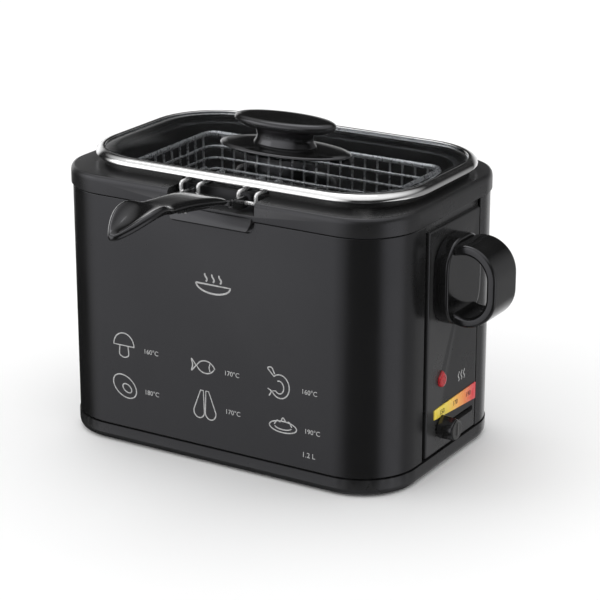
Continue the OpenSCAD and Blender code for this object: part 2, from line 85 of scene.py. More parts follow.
def make_camera():
    """A long lens at the front right corner, a little above the lid."""
    flat = math.cos(CAMERA_ELEVATION)
    back = Vector((
        math.sin(CAMERA_AZIMUTH) * flat,
        -math.cos(CAMERA_AZIMUTH) * flat,
        math.sin(CAMERA_ELEVATION),
    ))
    right = Vector((math.cos(CAMERA_AZIMUTH), math.sin(CAMERA_AZIMUTH), 0))
    up = back.cross(right)
    data = bpy.data.cameras.new("camera")
    data.lens = CAMERA_LENS
    camera = bpy.data.objects.new("camera", data)
    camera.location = CAMERA_TARGET + right * CAMERA_SLIDE[0] + up * CAMERA_SLIDE[1] + back * CAMERA_DISTANCE
    camera.rotation_euler = back.to_track_quat("Z", "Y").to_euler()
    bpy.context.collection.objects.link(camera)
    bpy.context.scene.camera = camera


def softbox(name, place, size, power):
    """A square area light that faces the fryer."""
    data = bpy.data.lights.new(name, "AREA")
    data.size = size
    data.energy = power
    light = bpy.data.objects.new(name, data)
    light.location = place
    light.rotation_euler = (Vector(place) - CAMERA_TARGET).to_track_quat("Z", "Y").to_euler()
    bpy.context.collection.objects.link(light)


# What the surfaces mirror: soft lights, as azimuth and elevation in degrees, strength, and
# the cosines from the light's middle at which it fades out and is full
ROOM_LIGHTS = [
    (235, 12, 1.75, 0.66, 1.00),         # ahead of the front face
    (358, -14, 0.95, 0.86, 0.97),        # beyond the front right corner
    (32, -12, 0.32, 0.57, 0.84),         # beyond the right side
    (100, -14, 0.90, 0.85, 0.97),        # behind the right side
    (144, 3, 1.20, 0.93, 0.985),         # behind, low
    (255, 82, 1.05, 0.45, 0.85),         # overhead
    (300, -75, 0.30, 0.75, 0.95),        # the table's own brightness
]
ROOM_DARK = 0.015                        # strength between the lights


def make_world():
    """An even white light. What the surfaces mirror is a darker room with soft lights in it."""
    world = bpy.data.worlds.new("studio")
    world.use_nodes = True
    tree = world.node_tree
    sky = tree.nodes["Background"]
    way = add(tree, "ShaderNodeTexCoord").outputs["Generated"]
    mirrored = add(tree, "ShaderNodeLightPath").outputs["Is Glossy Ray"]
    light = add(tree, "ShaderNodeMath", {0: 1.0, 1: mirrored}, operation="SUBTRACT").outputs["Value"]
    for azimuth, elevation, strength, fade, full in ROOM_LIGHTS:
        across = math.cos(math.radians(elevation))
        middle = (
            math.cos(math.radians(azimuth)) * across,
            math.sin(math.radians(azimuth)) * across,
            math.sin(math.radians(elevation)),
        )
        toward = add(tree, "ShaderNodeVectorMath", {0: way, 1: middle}, operation="DOT_PRODUCT")
        limits = {"Value": toward.outputs["Value"], "From Min": fade, "From Max": full,
                  "To Min": ROOM_DARK, "To Max": strength}
        glow = add(tree, "ShaderNodeMapRange", limits).outputs["Result"]
        light = add(tree, "ShaderNodeMath", {0: light, 1: glow}, operation="MAXIMUM").outputs["Value"]
    sky.inputs["Color"].default_value = (1, 1, 1, 1)
    tree.links.new(light, sky.inputs["Strength"])
    bpy.context.scene.world = world


def make_floor():
    """A plain pale floor, which the fryer doesn't mirror."""
    bm = bmesh.new()
    bmesh.ops.create_grid(bm, x_segments=2, y_segments=2, size=12)
    mesh = bpy.data.meshes.new("floor")
    bm.to_mesh(mesh)
    bm.free()
    floor = bpy.data.objects.new("floor", mesh)
    floor.visible_glossy = False
    bpy.context.collection.objects.link(floor)
    paint = bpy.data.materials.new("floor_white")
    paint.use_nodes = True
    shader = paint.node_tree.nodes["Principled BSDF"]
    shader.inputs["Base Color"].default_value = (0.95, 0.95, 0.95, 1)
    shader.inputs["Roughness"].default_value = 0.9
    shader.inputs["Specular IOR Level"].default_value = 0.1
    floor.data.materials.append(paint)


def make_studio():
    bpy.context.scene.view_settings.view_transform = "Standard"
    make_world()
    make_floor()
    softbox("top", (-0.75, 0.4, 2.5), 1.4, 8)
    softbox("left", (-2.0, -1.3, 1.2), 1.2, 5)


# ---------- materials ----------

NOISE_LOW = 0.3                          # a noise texture seldom leaves this range
NOISE_HIGH = 0.7
COOL = (0.92, 0.92, 1.0, 1)              # tint of the black parts' sheen


def start(name):
    """An empty material: itself, its tree, its shader and its object coordinates."""
    made = bpy.data.materials.new(name)
    made.use_nodes = True
    tree = made.node_tree
    where = add(tree, "ShaderNodeTexCoord").outputs["Object"]
    return made, tree, tree.nodes["Principled BSDF"], where


def stretched(tree, where, stretch):
    """Object coordinates scaled along each axis, for brushing and streaks."""
    return add(tree, "ShaderNodeMapping", {"Vector": where, "Scale": stretch}).outputs["Vector"]


def noise(tree, where, scale, detail=3.0, roughness=0.55):
    inputs = {"Vector": where, "Scale": scale, "Detail": detail, "Roughness": roughness}
    return add(tree, "ShaderNodeTexNoise", inputs).outputs["Fac"]


def spread(tree, value, low, high):
    """A noise value mapped on to a range."""
    inputs = {"Value": value, "From Min": NOISE_LOW, "From Max": NOISE_HIGH, "To Min": low, "To Max": high}
    return add(tree, "ShaderNodeMapRange", inputs).outputs["Result"]


def between(tree, amount, first, second):
    """A colour part way between two."""
    node = add(tree, "ShaderNodeMix", data_type="RGBA")    # its colours are inputs 6 and 7, output 2
    for socket, value in ((node.inputs[0], amount), (node.inputs[6], first), (node.inputs[7], second)):
        if isinstance(value, bpy.types.NodeSocket):
            tree.links.new(value, socket)
        else:
            socket.default_value = value
    return node.outputs[2]


def grey(level):
    return (level, level, level, 1)


def shade(colour, factor):
    return tuple(min(1.0, c * factor) for c in colour[:3]) + (1,)


def worn_edges(tree, colour, worn, low=0.52, high=0.62, amount=0.5):
    """Lightens the colour where the surface bends sharply outwards."""
    bend = add(tree, "ShaderNodeNewGeometry").outputs["Pointiness"]
    inputs = {"Value": bend, "From Min": low, "From Max": high, "To Min": 0.0, "To Max": amount}
    mask = add(tree, "ShaderNodeMapRange", inputs).outputs["Result"]
    return between(tree, mask, colour, worn)


def finish(name, colour, rough, patch=25, vary=0.12, grain=2500, depth=0.000006,
           stretch=None, worn=None, **sockets):
    """A surface whose colour drifts, whose gloss is uneven and whose skin has a grain."""
    made, tree, shader, where = start(name)
    along = stretched(tree, where, stretch) if stretch else where
    cloud = spread(tree, noise(tree, along, patch), 0, 1)
    tone = between(tree, cloud, shade(colour, 1 - vary), shade(colour, 1 + vary))
    if worn:
        tone = worn_edges(tree, tone, worn)
    tree.links.new(tone, shader.inputs["Base Color"])
    smudge = noise(tree, along, patch * 3.1, 5)
    tree.links.new(spread(tree, smudge, *rough), shader.inputs["Roughness"])
    bump = add(tree, "ShaderNodeBump", {"Height": noise(tree, along, grain, 2), "Distance": depth})
    tree.links.new(bump.outputs["Normal"], shader.inputs["Normal"])
    for key, value in sockets.items():
        shader.inputs[key.replace("_", " ")].default_value = value
    return made


def painted_steel():
    """Satin black lacquer on sheet steel, with the faint orange peel of a sprayed coat."""
    return finish("painted_steel", grey(0.006), (0.21, 0.28), patch=9, vary=0.10,
                  grain=900, depth=0.000010, worn=grey(0.08), Specular_Tint=COOL)


def body_plastic():
    """Moulded black plastic with a fine spark-eroded grain."""
    return finish("body_plastic", grey(0.010), (0.25, 0.35), patch=14, vary=0.12,
                  grain=3200, depth=0.000008, worn=grey(0.07), Specular_Tint=COOL)


def gloss_black():
    """Polished black phenolic plastic."""
    return finish("gloss_black", grey(0.006), (0.09, 0.18), patch=20, vary=0.2,
                  grain=420, depth=0.000006, worn=grey(0.05), Specular_Tint=COOL, Coat_Weight=0.3)


def foot_rubber():
    return finish("foot_rubber", grey(0.018), (0.6, 0.8), patch=60, grain=4000, depth=0.00001)


def bright_steel():
    return finish("bright_steel", grey(0.60), (0.22, 0.36), patch=90, grain=2600, depth=0.000004,
                  stretch=(1, 1, 6), Metallic=1.0)


def polished_steel():
    """The lid's rolled ring: bright, with a trace of the rolling along it."""
    return finish("polished_steel", grey(0.82), (0.09, 0.17), patch=40, vary=0.05, grain=1500,
                  depth=0.000002, stretch=(1, 1, 9), Metallic=1.0)


def basket_wire():
    return finish("basket_wire", grey(0.85), (0.22, 0.36), patch=160, vary=0.12, grain=3000,
                  depth=0.000003, Metallic=0.7)


def nonstick_coating():
    """Dark coating with fine pale flecks."""
    made, tree, shader, where = start("nonstick_coating")
    fleck = add(tree, "ShaderNodeTexVoronoi", {"Vector": where, "Scale": 900})
    limits = {"Value": fleck.outputs["Distance"], "From Min": 0.08, "From Max": 0.16,
              "To Min": 1.0, "To Max": 0.0}
    mask = add(tree, "ShaderNodeMapRange", limits).outputs["Result"]
    ground = between(tree, spread(tree, noise(tree, where, 30), 0, 1), grey(0.010), grey(0.016))
    tree.links.new(between(tree, mask, ground, grey(0.12)), shader.inputs["Base Color"])
    tree.links.new(spread(tree, noise(tree, where, 80), 0.3, 0.42), shader.inputs["Roughness"])
    bump = add(tree, "ShaderNodeBump", {"Height": noise(tree, where, 1800), "Distance": 0.00001})
    tree.links.new(bump.outputs["Normal"], shader.inputs["Normal"])
    return made


def bare_aluminium():
    return finish("bare_aluminium", grey(0.7), (0.35, 0.5), patch=70, grain=2000, depth=0.000006,
                  Metallic=1.0)


def element_sheath():
    return finish("element_sheath", (0.16, 0.13, 0.11, 1), (0.4, 0.6), patch=50, vary=0.35,
                  grain=1800, depth=0.00001, Metallic=0.8)


def ceramic():
    return finish("ceramic", (0.72, 0.69, 0.60, 1), (0.3, 0.5), patch=90, vary=0.06, grain=1500)


def knob_grey():
    return finish("knob_grey", grey(0.045), (0.28, 0.4), patch=40, grain=3000, depth=0.000008,
                  worn=grey(0.16))


def brass_tag():
    return finish("brass_tag", (0.70, 0.50, 0.20, 1), (0.3, 0.45), patch=80, Metallic=1.0)


def lead_brown():
    return finish("lead_brown", (0.22, 0.09, 0.04, 1), (0.35, 0.5), patch=60)


def lead_blue():
    return finish("lead_blue", (0.04, 0.09, 0.35, 1), (0.35, 0.5), patch=60)


def lamp_glass():
    return finish("lamp_glass", (0.85, 0.65, 0.6, 1), (0.05, 0.12), patch=40, Transmission_Weight=0.6)


def red_lens():
    """Clear red plastic, moulded over fine ribs."""
    return finish("red_lens", (0.42, 0.018, 0.024, 1), (0.12, 0.22), patch=300, vary=0.3, grain=700,
                  depth=0.00003, Coat_Weight=0.4)


def scale_print():
    """A printed band that runs from yellow through orange to red along Y."""
    made, tree, shader, where = start("scale_print")
    low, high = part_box("temperature_scale")
    along = add(tree, "ShaderNodeSeparateXYZ", {"Vector": where}).outputs["Y"]
    limits = {"Value": along, "From Min": low.y, "From Max": high.y}
    place = add(tree, "ShaderNodeMapRange", limits).outputs["Result"]
    band = add(tree, "ShaderNodeValToRGB", {"Fac": place})
    ramp = band.color_ramp
    ramp.elements[0].position = 0.28
    ramp.elements[0].color = (0.93, 0.72, 0.05, 1)
    ramp.elements[1].position = 0.92
    ramp.elements[1].color = (0.72, 0.03, 0.04, 1)
    ramp.elements.new(0.62).color = (0.93, 0.36, 0.05, 1)
    mottle = spread(tree, noise(tree, where, 400), 0.0, 0.12)
    ink = between(tree, mottle, band.outputs["Color"], grey(0.9))
    tree.links.new(ink, shader.inputs["Base Color"])
    tree.links.new(spread(tree, noise(tree, where, 700), 0.3, 0.45), shader.inputs["Roughness"])
    return made


def white_print():
    """Pad-printed white ink, a little thin in places."""
    return finish("white_print", grey(0.42), (0.45, 0.6), patch=900, vary=0.25, grain=4000)


def dark_print():
    return finish("dark_print", grey(0.03), (0.4, 0.55), patch=600, vary=0.2, grain=4000)


def tempered_glass():
    """Clear toughened glass with a faint cool cast."""
    made, tree, shader, where = start("tempered_glass")
    tint = between(tree, noise(tree, where, 12), (0.88, 0.90, 0.93, 1), (0.93, 0.95, 0.97, 1))
    tree.links.new(tint, shader.inputs["Base Color"])
    tree.links.new(spread(tree, noise(tree, where, 25, 5), 0.0, 0.03), shader.inputs["Roughness"])
    bump = add(tree, "ShaderNodeBump", {"Height": noise(tree, where, 14, 1), "Distance": 0.0002})
    tree.links.new(bump.outputs["Normal"], shader.inputs["Normal"])
    shader.inputs["Transmission Weight"].default_value = 1.0
    shader.inputs["IOR"].default_value = 1.45
    return made


FINISHES = [
    painted_steel, body_plastic, gloss_black, foot_rubber, bright_steel, polished_steel, basket_wire,
    nonstick_coating, bare_aluminium, element_sheath, ceramic, knob_grey, brass_tag, lead_brown,
    lead_blue, lamp_glass, red_lens, scale_print, white_print, dark_print, tempered_glass,
]
MATERIALS = {build.__name__: build() for build in FINISHES}


# ---------- shape helpers, in millimetres ----------

def box(node):
    """A CAD node's lowest and highest corners, in millimetres."""
    low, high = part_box(node)
    return low / MM, high / MM


def make(name, points, faces):
    """A mesh object from points in millimetres, with its faces turned outwards."""
    mesh = bpy.data.meshes.new(name)
    mesh.from_pydata([Vector(p) * MM for p in points], [], faces)
    bm = bmesh.new()
    bm.from_mesh(mesh)
    bmesh.ops.remove_doubles(bm, verts=bm.verts, dist=1e-6)
    bmesh.ops.recalc_face_normals(bm, faces=bm.faces)
    bm.to_mesh(mesh)
    bm.free()
    for face in mesh.polygons:
        face.use_smooth = True
    piece = bpy.data.objects.new(name, mesh)
    bpy.context.collection.objects.link(piece)
    return piece


def arc(cx, cy, rx, ry, first, last, steps=12):
    """Points along an ellipse's arc, between two angles in degrees."""
    turns = [math.radians(first + (last - first) * i / steps) for i in range(steps + 1)]
    return [(cx + rx * math.cos(t), cy + ry * math.sin(t)) for t in turns]


def outline(w, d, r, cy=0.0, steps=10):
    """Points round a rounded rectangle, anticlockwise from the rear end of its right side."""
    corners = ((1, 1, 0), (-1, 1, 90), (-1, -1, 180), (1, -1, 270))
    return [p for sx, sy, turn in corners
            for p in arc(sx * (w / 2 - r), cy + sy * (d / 2 - r), r, r, turn, turn + 90, steps)]


def rectangle(x0, y0, x1, y1):
    return [(x0, y0), (x1, y0), (x1, y1), (x0, y1)]


def at(points, z):
    return [(x, y, z) for x, y in points]


def loft(name, rings, wrap=True, loop=False, caps=False):
    """Skins a list of rings. wrap closes each ring, loop joins the last to the first, and
    caps closes what is left open: the end rings, or an open strip's two ends."""
    count = len(rings[0])
    points = [p for ring in rings for p in ring]
    faces = []
    for i in range(len(rings) if loop else len(rings) - 1):
        here = i * count
        there = (i + 1) % len(rings) * count
        for j in range(count if wrap else count - 1):
            k = (j + 1) % count
            faces.append((here + j, here + k, there + k, there + j))
    if caps and wrap:
        faces += [tuple(range(count)), tuple(range(len(points) - count, len(points)))]
    if caps and not wrap:
        faces += [tuple(i * count + j for i in range(len(rings))) for j in (0, count - 1)]
    return make(name, points, faces)


def sweep(name, w, d, r, cy, profile):
    """Carries a closed profile of (outward, height) pairs round a rounded rectangle."""
    rings = [at(outline(w + 2 * o, d + 2 * o, r + o, cy), z) for o, z in profile]
    return loft(name, rings, loop=True)


def prism(name, shape, low, high, axis="z"):
    """A flat shape given thickness along one axis. Its own axes follow in order."""
    place = {
        "x": lambda a, b, h: (h, a, b),
        "y": lambda a, b, h: (a, h, b),
        "z": lambda a, b, h: (a, b, h),
    }[axis]
    return loft(name, [[place(a, b, h) for a, b in shape] for h in (low, high)], caps=True)


def soften(piece, width, segments=3, angle=35):
    """Rounds the sharp edges and evens the shading."""
    weld = piece.modifiers.new("weld", "WELD")
    weld.merge_threshold = 0.002 * MM
    bevel = piece.modifiers.new("round", "BEVEL")
    bevel.width = width * MM
    bevel.segments = segments
    bevel.limit_method = "ANGLE"
    bevel.angle_limit = math.radians(angle)
    bevel.harden_normals = False
    even = piece.modifiers.new("even", "WEIGHTED_NORMAL")
    even.keep_sharp = True
    for face in piece.data.polygons:
        face.use_smooth = True
    return piece


def bake(piece):
    """Replaces the mesh by what its modifiers make of it."""
    bpy.context.view_layer.update()
    graph = bpy.context.evaluated_depsgraph_get()
    piece.data = bpy.data.meshes.new_from_object(piece.evaluated_get(graph))
    piece.modifiers.clear()


def combine(piece, tools, operation):
    """Cuts tools from the piece, adds them to it or keeps what they share, and removes them."""
    for tool in tools:
        change = piece.modifiers.new("combine", "BOOLEAN")
        change.operation = operation
        change.solver = "EXACT"
        change.object = tool
    bake(piece)
    for tool in tools:
        bpy.data.objects.remove(tool)


def carve(piece, *tools):
    combine(piece, tools, "DIFFERENCE")


def fuse(piece, *tools):
    combine(piece, tools, "UNION")


def subdivide(piece, levels):
    grow = piece.modifiers.new("smooth", "SUBSURF")
    grow.levels = levels
    grow.render_levels = levels


def rounded(path, bend, steps=5):
    """A path of points with its corners eased by a short curve."""
    points = [Vector(p) for p in path]
    made = []
    for i, corner in enumerate(points):
        if i in (0, len(points) - 1):
            made.append(corner)
            continue
        before = points[i - 1] - corner
        after = points[i + 1] - corner
        first = corner + before.normalized() * min(bend, before.length / 2)
        last = corner + after.normalized() * min(bend, after.length / 2)
        for k in range(steps + 1):
            t = k / steps
            made.append(first * (1 - t) ** 2 + corner * 2 * t * (1 - t) + last * t * t)
    return made


def wire(name, paths, radius, closed=False, sides=2):
    """Round wires along paths of points."""
    curve = bpy.data.curves.new(name, "CURVE")
    curve.dimensions = "3D"
    curve.bevel_depth = radius * MM
    curve.bevel_resolution = sides
    curve.use_fill_caps = True
    for path in paths:
        line = curve.splines.new("POLY")
        line.points.add(len(path) - 1)
        for point, place in zip(line.points, path):
            point.co = (*(Vector(place) * MM), 1)
        line.use_cyclic_u = closed
        line.use_smooth = True
    piece = bpy.data.objects.new(name, curve)
    bpy.context.collection.objects.link(piece)
    return piece


def dress(piece, material, body="root", nodes=()):
    """Gives a piece its material and body, and hides the CAD nodes that it stands for."""
    piece.data.materials.clear()
    piece.data.materials.append(MATERIALS[material])
    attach(piece, body)
    if nodes:
        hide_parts(*nodes)


def dress_cad():
    """Every CAD node keeps its shape and takes its slot's material."""
    for name, node in NODES.items():
        node.data.materials.clear()
        node.data.materials.append(MATERIALS[SLOT_OF[name]])


# ---------- measures taken from the frame ----------

SHELL_LOW, SHELL_HIGH = box("outer_shell")
REAR_LOW, REAR_HIGH = box("rear_shell")
PANEL_LOW, PANEL_HIGH = box("control_panel")
BOWL_LOW, BOWL_HIGH = box("oil_bowl")
RING_LOW, RING_HIGH = box("lid_ring")
GLASS_LOW, GLASS_HIGH = box("lid_glass")
RIM_LOW, RIM_HIGH = box("basket_rim")

HALF_W = SHELL_HIGH.x
HALF_D = REAR_HIGH.y
BODY_W = 2 * HALF_W
BODY_D = 2 * HALF_D
CORNER_R = 36
SHEET = 0.8
FRONT = -HALF_D                          # the plane of the front face
SEAM_Z = SHELL_HIGH.z + 0.5              # underside of the collar's apron
DECK_Z = BOWL_LOW.z + 98                 # top of the collar, under the bowl's flange
LID_Y = (RING_LOW.y + RING_HIGH.y) / 2
POCKET_HALF = 30
POCKET_FLOOR = SEAM_Z + 3.5
POCKET_BACK = FRONT + 14.5
HINGE_Y = FRONT + 7.5
HINGE_Z = POCKET_FLOOR + 4.5
INNER_LEG = 14                           # the hinge wires' upright legs
OUTER_LEG = 26
HINGE_WIRE_R = 1.2
HINGE_BORE_R = 1.25

WRAP_END = -32.5                         # where the front wrap stops, at the panel
PANEL_BACK = HALF_W - 3.9                # inner face of the panel and its flange
GLAND_HOLE_R = 6.4
TAB_HALF = 28.4
TAB_BOTTOM = SEAM_Z - 6.6
MOUTH = (200, 118, 34)                   # width, depth and corner of the collar's opening
BOWL = (196, 114, 32)                    # and of the bowl's mouth
SLOT_Z = 25
SLOT_SIZE = (47, 3.8, 1.85)              # length, height and end radius
SLOT_AHEAD = 19                          # from the knob at rest to the slot's middle
LENS_Z = 57                              # middle of the lens's hole and peg
LENS_HOLE_R = 3.2
LENS_PEG_R = 3.1
LID_CORNER_R = 45
INK = 0.04                               # half the thickness of the printed figures


# ---------- body ----------

def sheet_profile(bottom, top):
    """Section through the sheet: a thin wall with turned-in edges."""
    ease = 0.3
    return [
        (-ease, bottom), (0, bottom + ease), (0, top - ease), (-ease, top), (-SHEET, top), (-SHEET, bottom),
    ]


def shell_pieces():
    """The front wrap and the rear cover, each a bent sheet."""
    steps = 16
    half = 2 * (steps + 1)
    front, rear = [], []
    for o, z in sheet_profile(SHELL_LOW.z, SHELL_HIGH.z):
        turns = outline(BODY_W + 2 * o, BODY_D + 2 * o, CORNER_R + o, 0, steps)
        left, right = -HALF_W - o, HALF_W + o
        front.append(at([(left, SHELL_HIGH.y)] + turns[half:] + [(right, WRAP_END)], z))
        rear.append(at([(right, REAR_LOW.y)] + turns[:half] + [(left, REAR_LOW.y)], z))
    wrap = loft("front_wrap", front, wrap=False, loop=True, caps=True)
    cover = loft("rear_cover", rear, wrap=False, loop=True, caps=True)
    low, high = box("cord_gland")
    hole = arc((low.x + high.x) / 2, (low.z + high.z) / 2, GLAND_HOLE_R, GLAND_HOLE_R, 0, 350, 35)
    carve(cover, prism("hole", hole, HALF_D - 3, HALF_D + 3, "y"))
    carve(wrap, prism("notch", tab_outline(1.1), FRONT - 2, FRONT + 2, "y"))
    for piece, node in ((wrap, "outer_shell"), (cover, "rear_shell")):
        dress(soften(piece, 0.2, 2), "painted_steel", nodes=[node])


def panel_piece():
    """Flat moulded panel let in between the shell's two ends."""
    raised = rectangle(PANEL_BACK, PANEL_LOW.y + 7, HALF_W, PANEL_HIGH.y - 3)
    face = prism("panel", raised, PANEL_LOW.z, SEAM_Z - 5.5)
    soften(face, 1.3, 4)
    bake(face)
    sunk = rectangle(PANEL_BACK, PANEL_LOW.y, HALF_W - 2.5, PANEL_HIGH.y)
    fuse(face, prism("flange", sunk, PANEL_LOW.z + 0.1, PANEL_HIGH.z))
    low, high = box("slider_knob")
    knob_y = (low.y + high.y) / 2
    slot = [(y + knob_y + SLOT_AHEAD, z + SLOT_Z) for y, z in outline(*SLOT_SIZE)]
    low, high = box("indicator_lens")
    hole = arc((low.y + high.y) / 2, LENS_Z, LENS_HOLE_R, LENS_HOLE_R, 0, 345, 23)
    carve(face, *(prism(name, shape, HALF_W - 8, HALF_W + 4, "x")
                  for name, shape in (("slot", slot), ("hole", hole))))
    dress(soften(face, 0.25, 2), "body_plastic", nodes=["control_panel"])


def tab_outline(grow=0.0):
    """The tab's outline on the front, or one that stands clear of it all round."""
    half = TAB_HALF + grow
    bottom = TAB_BOTTOM - grow
    top = POCKET_FLOOR + 3
    left = arc(-half + 5, bottom + 4, 4.2, 4, 190, 270, 6)
    right = arc(half - 5, bottom + 4, 4.2, 4, 270, 350, 6)
    return [(-half, top), (-half, SEAM_Z - 1), *left, *right, (half, SEAM_Z - 1), (half, top)]


def tab_piece():
    """Sloping shield under the pocket: a wedge along X, cut to its outline."""
    lip = POCKET_FLOOR - 1.4
    slope = [
        (FRONT + 1.0, TAB_BOTTOM), (FRONT - 3.5, TAB_BOTTOM), (FRONT - 3.9, TAB_BOTTOM + 0.9),
        (FRONT - 1.7, lip - 0.7), (FRONT - 1.0, lip), (FRONT + 1.0, lip),
    ]
    tab = prism("tab", slope, -30, 30, "x")
    combine(tab, [prism("shield", tab_outline(), FRONT - 6, FRONT + 3, "y")], "INTERSECT")
    return tab


def collar_piece():
    """Rim moulding with a rounded apron, the handle's pocket and the tab under it."""
    def ring(o, z):
        return at(outline(BODY_W + 2 * o, BODY_D + 2 * o, CORNER_R + o, 0, 14), z)

    def mouth(z):
        return at(outline(*MOUTH, LID_Y, 14), z)

    skirt = SEAM_Z - 8
    rings = [
        ring(-3.4, skirt), ring(-1.4, skirt), ring(-1.4, SEAM_Z), ring(0.6, SEAM_Z),
        ring(1, SEAM_Z + 0.5), ring(1, DECK_Z - 3.6), ring(0.7, DECK_Z - 1.9), ring(-0.1, DECK_Z - 0.6),
        ring(-1.6, DECK_Z), mouth(DECK_Z), mouth(DECK_Z - 2.4), ring(-3.4, DECK_Z - 2.4),
    ]
    collar = loft("collar", rings, loop=True)
    under_pocket = rectangle(-POCKET_HALF - 2, FRONT + 2, POCKET_HALF + 2, POCKET_BACK + 2)
    tray = prism("tray", under_pocket, POCKET_FLOOR - 2, DECK_Z - 0.6)
    tab = tab_piece()
    fuse(collar, tray, tab)
    pocket = prism("pocket", outline(2 * POCKET_HALF, 40, 5, POCKET_BACK - 20), POCKET_FLOOR, DECK_Z + 10)
    over_panel = rectangle(HALF_W - 5, PANEL_LOW.y - 2, HALF_W + 6, PANEL_HIGH.y + 2)
    opening = prism("opening", over_panel, skirt - 1, SEAM_Z)
    carve(collar, pocket, opening)
    dress(soften(collar, 0.35, 3, 40), "body_plastic", nodes=["top_collar"])


def bowl_piece():
    """Pressed bowl: rounded floor, straight wall, flange and raised bead."""
    w, d, r = BOWL
    floor = BOWL_LOW.z + 1.5

    def ring(o, z):
        return at(outline(w + 2 * o, d + 2 * o, r + o, LID_Y, 14), z)

    top = DECK_Z + 0.8
    rings = [
        ring(-12, floor - 1.5), ring(-3, floor - 0.7), ring(1.0, floor + 2.5), ring(1.5, floor + 7),
        ring(1.5, DECK_Z), ring(10, DECK_Z), ring(10, BOWL_HIGH.z - 0.6), ring(9.5, BOWL_HIGH.z),
        ring(8.6, BOWL_HIGH.z), ring(8.0, BOWL_HIGH.z - 0.7), ring(7.8, top + 0.1), ring(2.2, top),
        ring(0.7, top - 0.3), ring(0, top - 1.2), ring(0, floor + 9), ring(-1.2, floor + 4),
        ring(-4, floor + 1.2), ring(-10, floor),
    ]
    bowl = loft("bowl", rings, caps=True)
    behind_pocket = rectangle(-POCKET_HALF, -66, POCKET_HALF, -56.2)
    carve(bowl, prism("gap", behind_pocket, top + 0.02, top + 8))
    dress(soften(bowl, 0.2, 2, 50), "nonstick_coating", nodes=["oil_bowl"])


# ---------- controls and carry handle ----------

def carry_handle_pieces():
    """A strap bent into a loop, on a raised oval pedestal."""
    low, high = box("carry_handle")
    block_low, block_high = box("handle_pedestal")
    y = (low.y + high.y) / 2
    z = (low.z + high.z) / 2
    h = high.z - low.z
    thick = 6.0
    r = 20                               # of the loop's two bends, on the outside
    rings = []
    for across, out in outline(high.y - low.y, thick, 1.7, -thick / 2, 4):
        bend = r + out
        cx, cz = high.x - r, h / 2 - r
        path = [(low.x + 0.02, z + h / 2 + out - 1.3)]
        path += arc(cx, z + cz, bend, bend, 104, 0, 16)
        path += arc(cx, z - cz, bend, bend, 0, -104, 16)
        path += [(low.x + 0.02, z - h / 2 - out + 1.3)]
        rings.append([(px, y + across, pz) for px, pz in path])
    strap = loft("carry_loop", rings, wrap=False, loop=True, caps=True)
    dress(soften(strap, 0.2, 2, 50), "gloss_black", nodes=["carry_handle"])
    shape = [(a + y, b + z) for a, b in outline(block_high.y - block_low.y, block_high.z - block_low.z, 17)]
    block = prism("carry_pedestal", shape, block_low.x, block_high.x, "x")
    dress(soften(block, 1.6, 4), "gloss_black", nodes=["handle_pedestal"])


def drop(y, z, r, top):
    """Outline of a drop: a circle drawn up to a point."""
    rise = math.degrees(math.asin(r / (top - z)))
    return arc(y, z, r, r, 180 - rise, 360 + rise, 26) + [(y, top)]


def shrunk(shape, y, z, share):
    return [(y + (a - y) * share, z + (b - z) * share) for a, b in shape]


def domed(name, shape, y, z, sections):
    """A shape stacked along X, from sections of (x, share of its size)."""
    rings = [[(x, a, b) for a, b in shrunk(shape, y, z, share)] for x, share in sections]
    return loft(name, rings, caps=True)


def slider_pieces():
    """Tapered black knob on a stem through the slot, with a ridged grey pointer on its face."""
    low, high = box("slider_knob")
    y = (low.y + high.y) / 2
    r = (high.y - low.y) / 2
    cz = low.z + r
    shape = drop(y, cz, r, high.z)
    knob = domed("slider", shape, y, cz, [
        (HALF_W + 0.9, 0.96), (HALF_W + 1.5, 1.0), (high.x - 2.4, 0.94), (high.x - 1.4, 0.88),
    ])
    stem = rectangle(y - 3, SLOT_Z - 1.5, y + 3, SLOT_Z + 1.5)
    fuse(knob, prism("stem", stem, low.x, HALF_W + 1.2, "x"))
    dress(soften(knob, 0.3, 2, 40), "gloss_black", "temperature_slider", ["slider_knob"])
    pointer = prism("slider_pointer", shrunk(shape, y, cz, 0.82), high.x - 1.5, high.x - 0.5, "x")
    soften(pointer, 0.4, 3, 25)
    bake(pointer)
    ridge = [(y - 0.9, cz - 3), (y + 0.9, cz - 3), (y + 0.5, high.z - 3.4), (y - 0.5, high.z - 3.4)]
    fuse(pointer, prism("ridge", ridge, high.x - 0.8, high.x, "x"))
    dress(soften(pointer, 0.15, 2, 40), "knob_grey", "temperature_slider")


def lens_piece():
    """Drop-shaped lens, domed, on its round peg."""
    low, high = box("indicator_lens")
    y = (low.y + high.y) / 2
    r = (high.y - low.y) / 2
    cz = low.z + r
    shape = drop(y, cz, r - 0.5, high.z)
    lens = domed("lens", shape, y, cz, [
        (HALF_W, 1.0), (HALF_W + 0.9, 1.0), (HALF_W + 1.6, 0.94), (high.x - 0.1, 0.82), (high.x, 0.6),
    ])
    peg = arc(y, LENS_Z, LENS_PEG_R, LENS_PEG_R, 0, 345, 23)
    fuse(lens, prism("peg", peg, low.x, HALF_W + 0.2, "x"))
    dress(soften(lens, 0.1, 2, 50), "red_lens", nodes=["indicator_lens"])


# ---------- prints ----------

def solid(curve):
    """Turns a curve or text object into a mesh object, with its place worked in."""
    bpy.context.view_layer.update()
    graph = bpy.context.evaluated_depsgraph_get()
    mesh = bpy.data.meshes.new_from_object(curve.evaluated_get(graph))
    mesh.transform(curve.matrix_world)
    piece = bpy.data.objects.new(curve.name, mesh)
    bpy.context.collection.objects.link(piece)
    bpy.data.objects.remove(curve)
    return piece


